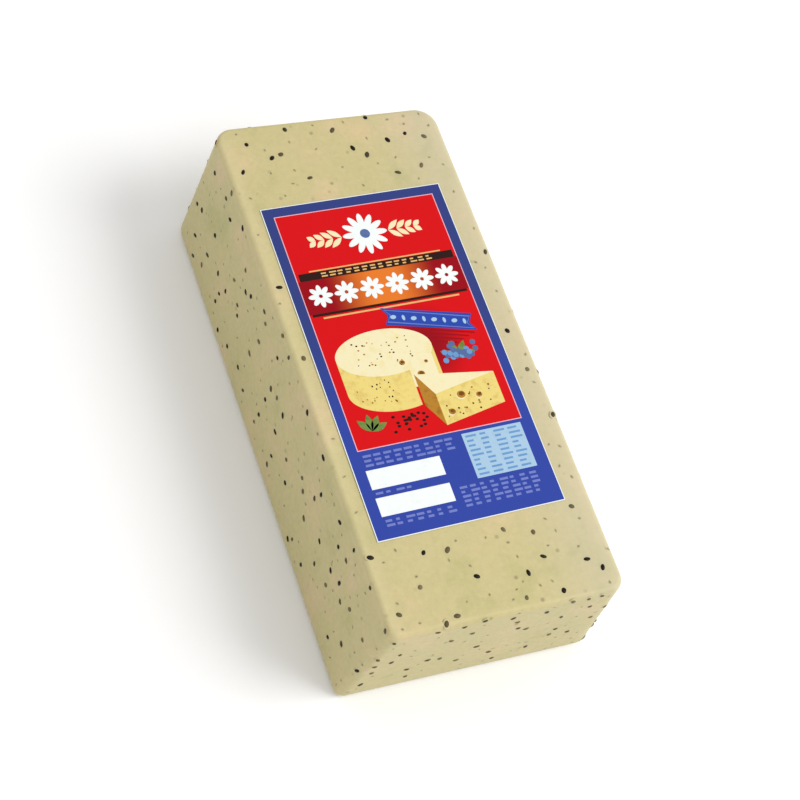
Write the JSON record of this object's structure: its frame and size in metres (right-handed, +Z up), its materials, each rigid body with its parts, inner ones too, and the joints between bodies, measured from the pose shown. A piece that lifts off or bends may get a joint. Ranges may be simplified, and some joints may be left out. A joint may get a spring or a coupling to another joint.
{
  "type": "cheese block",
  "caption": "Whole rectangular loaf of pale seeded semi-hard cheese with rounded edges, sides that lean in towards the top, and a printed label lying on the top.",
  "frame": {"origin": "middle of the base, where the loaf rests", "axes": "+Z up, +Y along the loaf towards its far end, +X to the right with the label the right way up"},
  "size_m": [0.1364, 0.281, 0.0781],
  "materials": {
    "cheese": "pale seeded cheese, smooth and slightly glossy under clear film",
    "label_print": "printed label, satin, red with blue borders"
  },
  "bodies": {
    "root": {"cheese_block": "cheese", "label": "label_print"}
  },
  "joints": []
}
